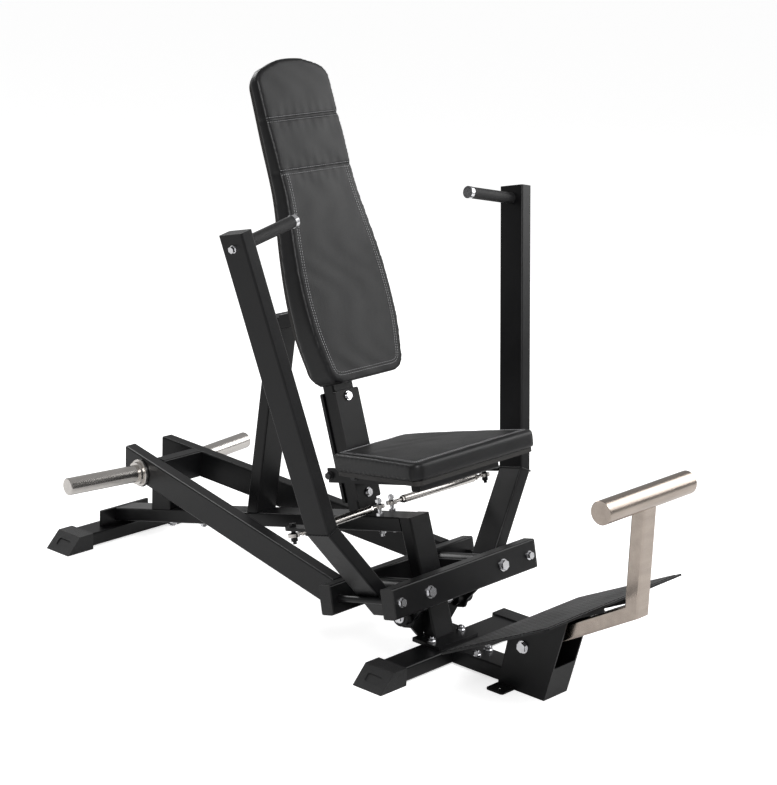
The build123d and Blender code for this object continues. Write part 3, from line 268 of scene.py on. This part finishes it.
def add_stitch(builder, start, end, normal):
    """One thread stitch: a short faceted spindle lying on the cover."""
    along = (end - start).normalized()
    side = along.cross(normal).normalized()
    top = side.cross(along)
    rings = []
    for share, size in ((0.0, 0.35), (0.2, 1.0), (0.8, 1.0), (1.0, 0.35)):
        centre = start.lerp(end, share)
        ring = []
        reach = STITCH_RADIUS * size
        for k in range(STITCH_SIDES):
            angle = k * math.tau / STITCH_SIDES
            spoke = side * (reach * math.cos(angle)) + top * (reach * math.sin(angle))
            ring.append(builder.verts.new(centre + spoke))
        rings.append(ring)
    for a, b in zip(rings, rings[1:]):
        for k in range(STITCH_SIDES):
            after = (k + 1) % STITCH_SIDES
            builder.faces.new((a[k], a[after], b[after], b[k]))
    builder.faces.new(rings[0][::-1])
    builder.faces.new(rings[-1])


def stitch(name, pad, body_name, origin, up, out, lines, material):
    """Rows of stitches laid on a pad along lines given in the plane of its face."""
    tree = BVHTree.FromPolygons([v.co for v in pad.data.vertices],
                                [p.vertices for p in pad.data.polygons])
    builder = bmesh.new()
    share = STITCH_LENGTH / STITCH_PITCH
    for line in lines:
        for a, b in zip(line, line[1:]):
            b = a + (b - a) * share
            ends = []
            for x, run in (a, b):
                above = origin + Vector((x, 0, 0)) + up * run + out * 0.05
                hit, normal, index, distance = tree.ray_cast(above, -out, 0.2)
                if hit:
                    ends.append(hit + normal * STITCH_RADIUS * 0.5)
            if len(ends) == 2 and (ends[1] - ends[0]).length < 2 * STITCH_PITCH:
                add_stitch(builder, ends[0], ends[1], normal)
    mesh = bpy.data.meshes.new(name)
    builder.to_mesh(mesh)
    builder.free()
    mesh.shade_smooth()
    mesh.materials.append(material)
    rows = bpy.data.objects.new(name, mesh)
    bpy.context.scene.collection.objects.link(rows)
    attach(rows, body_name)


def edge_rows(outline):
    """Double row around the backrest's lower panel, open at its upper cross seam."""
    rows = []
    for inset in STITCH_INSETS:
        row = inset_line(outline, inset, STITCH_PITCH)
        row = np.roll(row, len(row) // 2 - row[:, 1].argmin(), axis=0)
        rows.append(row[row[:, 1] < BACK_SEAMS[1]])
    return rows


def seam_rows(outline):
    """A row on each side of every cross seam of the backrest."""
    rows = []
    for seam in BACK_SEAMS:
        near = outline[np.abs(outline[:, 1] - seam).argsort()[:2], 0]
        reach = abs(near).mean() - SEAM_STITCH_END
        xs = np.arange(-reach, reach, STITCH_PITCH)
        rows += [np.stack([xs, np.full(len(xs), seam + side * SEAM_STITCH_OFFSET)], axis=1)
                 for side in (-1, 1)]
    return rows


def seat_rows(outline):
    """Double row around the seat, opened at its front edge's middle."""
    rows = []
    for inset in STITCH_INSETS:
        row = inset_line(outline, inset - SEAT_EDGE_ROUND, STITCH_PITCH)
        rows.append(np.roll(row, len(row) // 2 - row[:, 1].argmax(), axis=0))
    return rows


# ---- Welds -----------------------------------------------------------------
def weld(name, points, body_name, material):
    """Rippled weld bead along a closed line of points."""
    curve = bpy.data.curves.new(name, "CURVE")
    curve.dimensions = "3D"
    curve.bevel_depth = WELD_RADIUS
    curve.bevel_resolution = 2
    spline = curve.splines.new("POLY")
    spline.points.add(len(points) - 1)
    for k, (target, point) in enumerate(zip(spline.points, points)):
        target.co = (*point, 1)
        target.radius = 1.0 + 0.16 * math.sin(k * 1.9)
    spline.use_cyclic_u = True
    bead = bpy.data.objects.new(name, curve)
    bpy.context.scene.collection.objects.link(bead)
    curve.materials.append(material)
    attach(bead, body_name)


def even_loop(corners, step=0.003):
    """Points every few millimetres around a closed polygon of Vectors."""
    points = []
    for a, b in zip(corners, corners[1:] + corners[:1]):
        count = max(1, int((b - a).length / step))
        points += [a.lerp(b, k / count) for k in range(count)]
    return points


def elbow_loop(sign):
    """Line around the mitred elbow of the press arm on one side of the machine."""
    lever_back = Vector((0, math.cos(LEVER_TILT), -math.sin(LEVER_TILT)))
    lever_up = Vector((0, math.sin(LEVER_TILT), math.cos(LEVER_TILT)))
    across_x, behind, above = ELBOW
    elbow = LEVER_BOLTS + Vector((sign * across_x, 0, 0)) + lever_back * behind + lever_up * above
    lower = Vector((sign * LOWER_RUN[0], 0, 0)) + lever_up * LOWER_RUN[1]
    upper = Vector((sign * UPPER_RUN[0], 0, 0)) + lever_up * UPPER_RUN[1]
    normal = (lower + upper).normalized()
    across = normal.cross(lever_back).normalized()
    half = TUBE_HALF[0] / math.sqrt((1 + lower.dot(upper)) / 2)
    corners = [elbow + across * (a * half) + lever_back * (b * TUBE_HALF[1])
               for a, b in ((-1, -1), (1, -1), (1, 1), (-1, 1))]
    return even_loop(corners)


def horn_loop(mount):
    """Line around the foot of a weight horn's flange."""
    axis = Vector(mount["axis"])
    foot = Vector(mount["pos_m"]) - axis * HORN_WELD_BACK
    spread = axis.orthogonal().normalized() * HORN_WELD_REACH
    turns = [k * math.tau / HORN_WELD_POINTS for k in range(HORN_WELD_POINTS)]
    return [foot + Matrix.Rotation(turn, 3, axis) @ spread for turn in turns]


# ---- Stage -----------------------------------------------------------------
def white_background():
    """World that lights softly and looks white to the camera."""
    world = bpy.data.worlds.new("studio")
    bpy.context.scene.world = world
    world.use_nodes = True
    nodes, links = world.node_tree.nodes, world.node_tree.links
    light = nodes["Background"]
    light.inputs["Color"].default_value = (1, 1, 1, 1)
    light.inputs["Strength"].default_value = 0.34
    seen = nodes.new("ShaderNodeBackground")
    seen.inputs["Color"].default_value = (1, 1, 1, 1)
    seen.inputs["Strength"].default_value = 1.0
    rays = nodes.new("ShaderNodeLightPath")
    mix = nodes.new("ShaderNodeMixShader")
    links.new(rays.outputs["Is Camera Ray"], mix.inputs["Fac"])
    links.new(light.outputs[0], mix.inputs[1])
    links.new(seen.outputs[0], mix.inputs[2])
    links.new(mix.outputs[0], nodes["World Output"].inputs["Surface"])


def floor_paint():
    """Pale floor whose far parts look white to the camera while the shadow stays."""
    paint = surface("floor_paint", (0.86, 0.86, 0.86), 0.85, grain=60, bump=0.02, vary=0.01)
    nodes, links = paint.node_tree.nodes, paint.node_tree.links
    glow = nodes.new("ShaderNodeEmission")
    rays = nodes.new("ShaderNodeLightPath")
    share = nodes.new("ShaderNodeMath")
    share.operation = "MULTIPLY"
    share.inputs[1].default_value = FLOOR_GLOW
    both = nodes.new("ShaderNodeAddShader")
    links.new(rays.outputs["Is Camera Ray"], share.inputs[0])
    links.new(share.outputs[0], glow.inputs["Strength"])
    links.new(nodes["Principled BSDF"].outputs[0], both.inputs[0])
    links.new(glow.outputs[0], both.inputs[1])
    links.new(both.outputs[0], nodes["Material Output"].inputs["Surface"])
    return paint


def pale_floor():
    """Large pale floor under the machine."""
    mesh = bpy.data.meshes.new("floor")
    reach = 30.0
    mesh.from_pydata([(-reach, -reach, -0.0005), (reach, -reach, -0.0005), (reach, reach, -0.0005),
                      (-reach, reach, -0.0005)], [], [(0, 1, 2, 3)])
    floor = bpy.data.objects.new("floor", mesh)
    bpy.context.scene.collection.objects.link(floor)
    mesh.materials.append(floor_paint())


def area_light(name, at, target, size, power):
    """Square soft light that points at a target, in watts."""
    lamp = bpy.data.lights.new(name, "AREA")
    lamp.size = size
    lamp.energy = power
    holder = bpy.data.objects.new(name, lamp)
    holder.location = at
    holder.rotation_euler = (Vector(target) - Vector(at)).to_track_quat("-Z", "Y").to_euler()
    bpy.context.scene.collection.objects.link(holder)


def photograph_camera():
    """Camera at the photograph's viewing angle."""
    back = Vector((math.sin(CAMERA_AZIMUTH) * math.cos(CAMERA_ELEVATION),
                   -math.cos(CAMERA_AZIMUTH) * math.cos(CAMERA_ELEVATION), math.sin(CAMERA_ELEVATION)))
    right = Vector((math.cos(CAMERA_AZIMUTH), math.sin(CAMERA_AZIMUTH), 0))
    up = back.cross(right)
    roll_cos, roll_sin = math.cos(CAMERA_ROLL), math.sin(CAMERA_ROLL)
    columns = (right * roll_cos + up * roll_sin, right * -roll_sin + up * roll_cos, back)
    data = bpy.data.cameras.new("camera")
    data.lens = CAMERA_LENS
    data.clip_end = 100
    camera = bpy.data.objects.new("camera", data)
    camera.matrix_world = Matrix.Translation(CAMERA_AT) @ Matrix(columns).transposed().to_4x4()
    bpy.context.scene.collection.objects.link(camera)
    bpy.context.scene.camera = camera


# ---- Build -----------------------------------------------------------------
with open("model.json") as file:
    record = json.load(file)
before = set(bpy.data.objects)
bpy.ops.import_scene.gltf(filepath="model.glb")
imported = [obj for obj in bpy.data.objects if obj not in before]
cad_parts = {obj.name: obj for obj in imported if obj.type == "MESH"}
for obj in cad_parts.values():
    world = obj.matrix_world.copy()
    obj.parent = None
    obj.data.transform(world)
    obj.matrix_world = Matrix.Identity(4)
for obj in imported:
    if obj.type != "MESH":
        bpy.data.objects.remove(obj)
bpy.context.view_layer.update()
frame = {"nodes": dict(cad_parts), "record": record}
paints = make_materials()
for part in frame["record"]["subparts"]:
    mesh = frame["nodes"][part["node"]].data
    mesh.materials.clear()
    mesh.materials.append(paints[part["material_slot"]])

back_up = Vector((0, math.sin(BACK_LEAN), math.cos(BACK_LEAN)))
back_out = Vector((0, -math.cos(BACK_LEAN), math.sin(BACK_LEAN)))
backrest, back_outline = upholster("backrest_cushion", "backrest_pad", "frame", BACK_ORIGIN,
                                   back_up, back_out, BACK_SEAMS, paints["black_vinyl"])
stitch("backrest_stitching", backrest, "frame", BACK_ORIGIN, back_up, back_out,
       edge_rows(back_outline) + seam_rows(back_outline), paints["thread"])

seat_up = Vector((0, -math.cos(SEAT_TILT), math.sin(SEAT_TILT)))
seat_out = Vector((0, math.sin(SEAT_TILT), math.cos(SEAT_TILT)))
seat, seat_outline = upholster("seat_cushion", "seat_pad", "seat", SEAT_ORIGIN, seat_up, seat_out,
                               (), paints["black_vinyl"])
stitch("seat_stitching", seat, "seat", SEAT_ORIGIN, seat_up, seat_out,
       seat_rows(seat_outline), paints["thread"])

for hand, sign in (("left", -1), ("right", 1)):
    weld(f"elbow_weld_{hand}", elbow_loop(sign), f"press_arm_{hand}", paints["black_frame"])
for mount in frame["record"]["mounts"]:
    if mount["kind"] == "pin":
        weld(f"{mount['name']}_weld", horn_loop(mount), "press_lever", paints["black_frame"])

white_background()
pale_floor()
area_light("key", (-2.6, -3.4, 4.2), (0, 0, 0.6), 2.6, 190)
area_light("fill", (3.8, -2.0, 2.6), (0, 0, 0.6), 3.0, 90)
area_light("rim", (0.5, 4.2, 3.6), (0, 0, 0.7), 2.6, 120)
photograph_camera()
bpy.context.scene.view_settings.view_transform = "Standard"
